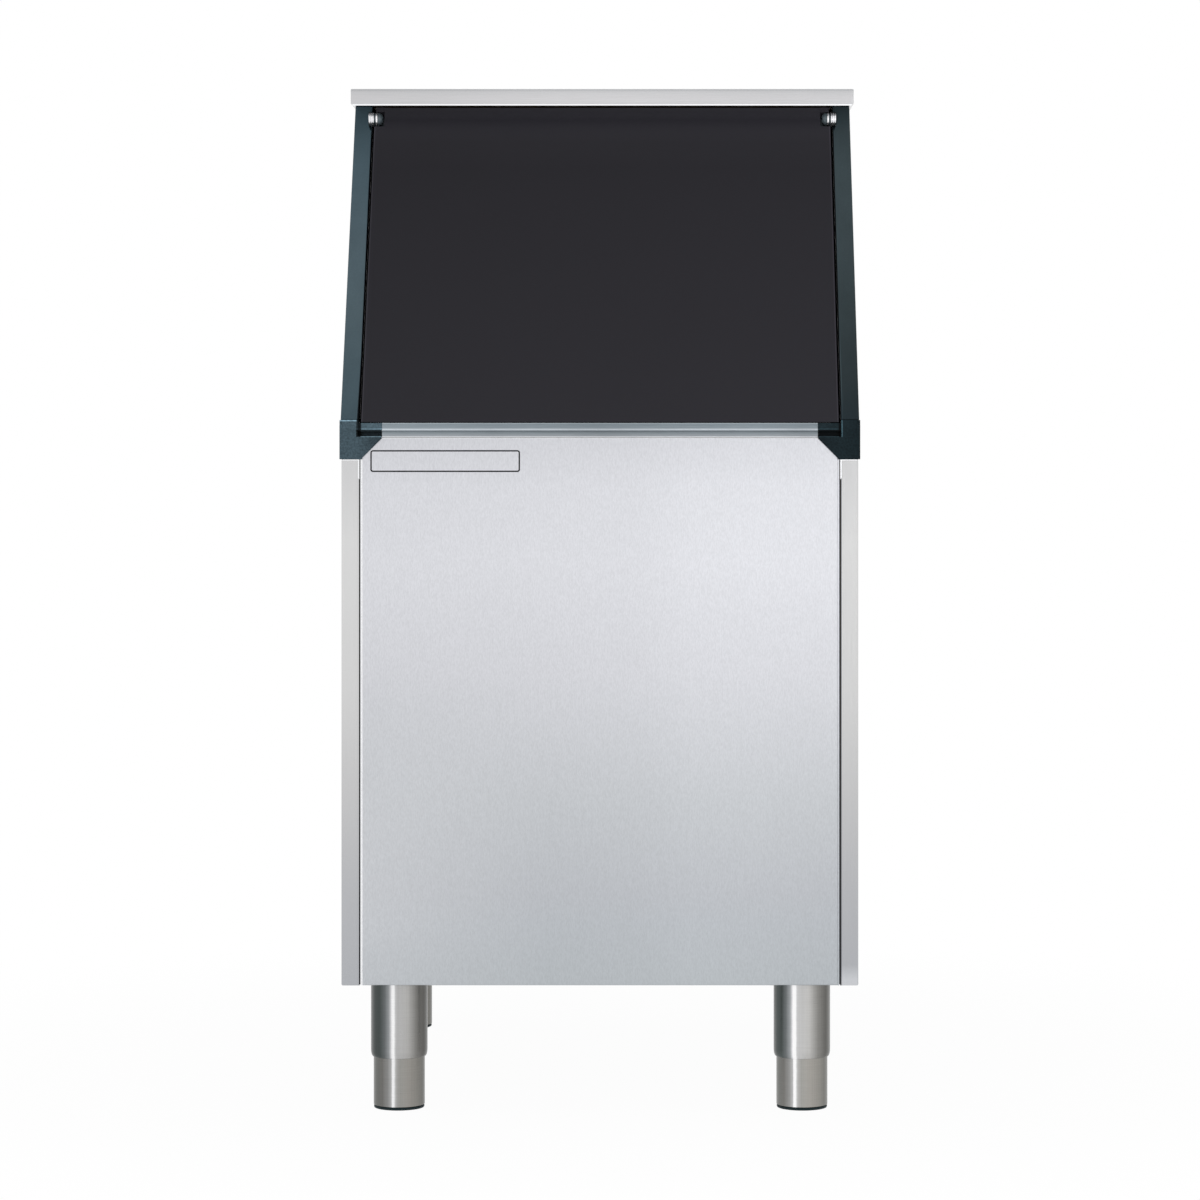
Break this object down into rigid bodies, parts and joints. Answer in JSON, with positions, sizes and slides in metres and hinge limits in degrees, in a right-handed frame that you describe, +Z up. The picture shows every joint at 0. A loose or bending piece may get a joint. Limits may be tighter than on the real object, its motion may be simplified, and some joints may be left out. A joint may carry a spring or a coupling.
{
  "type": "ice storage bin",
  "caption": "Insulated stainless ice storage bin on adjustable legs, with a leaning dark front door hinged at its top and an open top frame for an ice machine.",
  "frame": {"origin": "centre of the bounding box's base, on the floor under the middle of the bin", "axes": "+Z up, +X to the right seen from the front, -Y towards the front (the door side)"},
  "size_m": [0.57, 0.815, 1.131],
  "materials": {
    "brushed_stainless": "brushed, satin",
    "top_stainless": "fine brushed along the edge",
    "sill_metal": "satin",
    "galvanised_sheet": "dull zinc",
    "leg_tube_steel": "satin, turned lengthwise",
    "leg_hardware": "zinc plated",
    "hinge_chrome": "bright plated",
    "hinge_pin_steel": "dark, semi-gloss",
    "trim_plastic": "dark blue-grey, satin",
    "door_plastic": "near black, satin",
    "tank_liner": "white, satin",
    "insulation_foam": "foam, matt",
    "drain_plastic": "grey, satin",
    "seal_rubber": "black, matt",
    "foot_rubber": "black, matt",
    "badge_metal": "bare plate with a dark border"
  },
  "bodies": {
    "root": {"front_panel": "brushed_stainless", "left_side_panel": "brushed_stainless", "right_side_panel": "brushed_stainless", "back_panel": "galvanised_sheet", "base_panel": "galvanised_sheet", "inner_tank": "tank_liner", "front_insulation": "insulation_foam", "back_insulation": "insulation_foam", "left_insulation": "insulation_foam", "right_insulation": "insulation_foam", "floor_insulation": "insulation_foam", "header_insulation": "insulation_foam", "top_frame": "top_stainless", "top_core": "insulation_foam", "left_post": "trim_plastic", "right_post": "trim_plastic", "left_corner_bracket": "trim_plastic", "right_corner_bracket": "trim_plastic", "sill_rail": "sill_metal", "left_hinge_barrel": "hinge_chrome", "right_hinge_barrel": "hinge_chrome", "left_hinge_washer": "hinge_chrome", "right_hinge_washer": "hinge_chrome", "left_hinge_pin": "hinge_pin_steel", "right_hinge_pin": "hinge_pin_steel", "drain_body": "drain_plastic", "drain_nut": "drain_plastic", "drain_washer": "seal_rubber", "drain_strainer": "brushed_stainless", "badge_plate": "badge_metal", "front_left_leg_stem": "leg_hardware", "front_left_leg_nut": "leg_hardware", "front_left_leg_tube": "leg_tube_steel", "front_right_leg_stem": "leg_hardware", "front_right_leg_nut": "leg_hardware", "front_right_leg_tube": "leg_tube_steel", "rear_left_leg_stem": "leg_hardware", "rear_left_leg_nut": "leg_hardware", "rear_left_leg_tube": "leg_tube_steel", "rear_right_leg_stem": "leg_hardware", "rear_right_leg_nut": "leg_hardware", "rear_right_leg_tube": "leg_tube_steel"},
    "door": {"door_panel": "door_plastic", "door_core": "insulation_foam", "door_inner_skin": "door_plastic", "door_gasket": "seal_rubber", "left_hinge_plate": "hinge_pin_steel", "right_hinge_plate": "hinge_pin_steel"},
    "front_left_foot": {"front_left_foot_tube": "leg_tube_steel", "front_left_foot_pad": "foot_rubber"},
    "front_right_foot": {"front_right_foot_tube": "leg_tube_steel", "front_right_foot_pad": "foot_rubber"},
    "rear_left_foot": {"rear_left_foot_tube": "leg_tube_steel", "rear_left_foot_pad": "foot_rubber"},
    "rear_right_foot": {"rear_right_foot_tube": "leg_tube_steel", "rear_right_foot_pad": "foot_rubber"}
  },
  "joints": [
    {"name": "door_hinge", "type": "hinge", "parent": "root", "child": "door", "pos_m": [0, -0.20537, 1.0983], "axis": [-1, 0, 0], "range_deg": [0, 95]},
    {"name": "front_left_foot_adjust", "type": "slide", "parent": "root", "child": "front_left_foot", "axis": [0, 0, -1], "range_m": [-0.02, 0.03]},
    {"name": "front_right_foot_adjust", "type": "slide", "parent": "root", "child": "front_right_foot", "axis": [0, 0, -1], "range_m": [-0.02, 0.03]},
    {"name": "rear_left_foot_adjust", "type": "slide", "parent": "root", "child": "rear_left_foot", "axis": [0, 0, -1], "range_m": [-0.02, 0.03]},
    {"name": "rear_right_foot_adjust", "type": "slide", "parent": "root", "child": "rear_right_foot", "axis": [0, 0, -1], "range_m": [-0.02, 0.03]}
  ]
}
